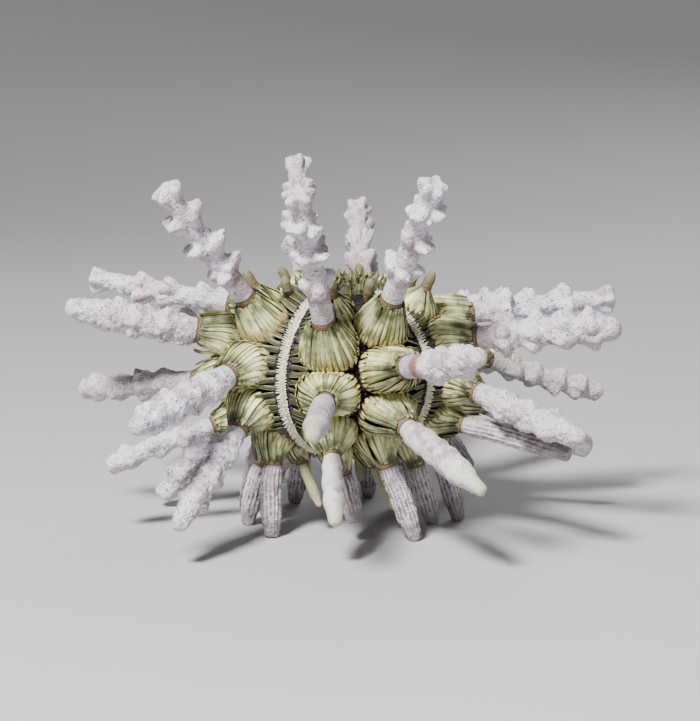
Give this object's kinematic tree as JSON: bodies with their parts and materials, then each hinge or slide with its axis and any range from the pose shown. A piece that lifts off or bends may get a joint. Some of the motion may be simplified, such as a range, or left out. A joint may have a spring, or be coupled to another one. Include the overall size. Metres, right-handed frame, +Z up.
{
  "type": "sputnik sea urchin specimen",
  "caption": "Dried sputnik sea urchin on its short mouth-side spines, with whorled primary spines standing in cups of flat scrobicular spines round a low test.",
  "frame": {"origin": "on the floor that the specimen stands on, under the middle of the spread of its spines", "axes": "+Z up along the test's axis to its apical disc, -Y towards the side that the picture shows"},
  "size_m": [0.0915, 0.0949, 0.0612],
  "materials": {
    "whorled_spine": "matte",
    "knobbed_spine": "matte",
    "mouth_side_spine": "matte",
    "bud_spine": "matte",
    "cup_blade": "matte",
    "test_plate": "matte",
    "ambulacrum": "matte",
    "apical_disc": "matte",
    "peristome": "matte"
  },
  "bodies": {
    "root": {"spine_1a_1": "bud_spine", "spine_1a_2": "whorled_spine", "spine_1a_3": "knobbed_spine", "spine_1a_4": "mouth_side_spine", "spine_1a_5": "mouth_side_spine", "spine_1b_1": "whorled_spine", "spine_1b_2": "whorled_spine", "spine_1b_3": "knobbed_spine", "spine_1b_4": "mouth_side_spine", "spine_1b_5": "mouth_side_spine", "ambulacrum_1": "ambulacrum", "spine_2a_1": "bud_spine", "spine_2a_2": "whorled_spine", "spine_2a_3": "knobbed_spine", "spine_2a_4": "mouth_side_spine", "spine_2a_5": "mouth_side_spine", "spine_2b_1": "whorled_spine", "spine_2b_2": "whorled_spine", "spine_2b_3": "knobbed_spine", "spine_2b_4": "mouth_side_spine", "spine_2b_5": "mouth_side_spine", "ambulacrum_2": "ambulacrum", "spine_3a_1": "bud_spine", "spine_3a_2": "whorled_spine", "spine_3a_3": "knobbed_spine", "spine_3a_4": "mouth_side_spine", "spine_3a_5": "mouth_side_spine", "spine_3b_1": "whorled_spine", "spine_3b_2": "whorled_spine", "spine_3b_3": "knobbed_spine", "spine_3b_4": "mouth_side_spine", "spine_3b_5": "mouth_side_spine", "ambulacrum_3": "ambulacrum", "spine_4a_1": "bud_spine", "spine_4a_2": "whorled_spine", "spine_4a_3": "knobbed_spine", "spine_4a_4": "mouth_side_spine", "spine_4a_5": "mouth_side_spine", "spine_4b_1": "whorled_spine", "spine_4b_2": "whorled_spine", "spine_4b_3": "knobbed_spine", "spine_4b_4": "mouth_side_spine", "spine_4b_5": "mouth_side_spine", "ambulacrum_4": "ambulacrum", "spine_5a_1": "bud_spine", "spine_5a_2": "whorled_spine", "spine_5a_3": "knobbed_spine", "spine_5a_4": "mouth_side_spine", "spine_5a_5": "mouth_side_spine", "spine_5b_1": "whorled_spine", "spine_5b_2": "whorled_spine", "spine_5b_3": "knobbed_spine", "spine_5b_4": "mouth_side_spine", "spine_5b_5": "mouth_side_spine", "ambulacrum_5": "ambulacrum", "apical_disc": "apical_disc", "peristome": "peristome"}
  },
  "joints": []
}
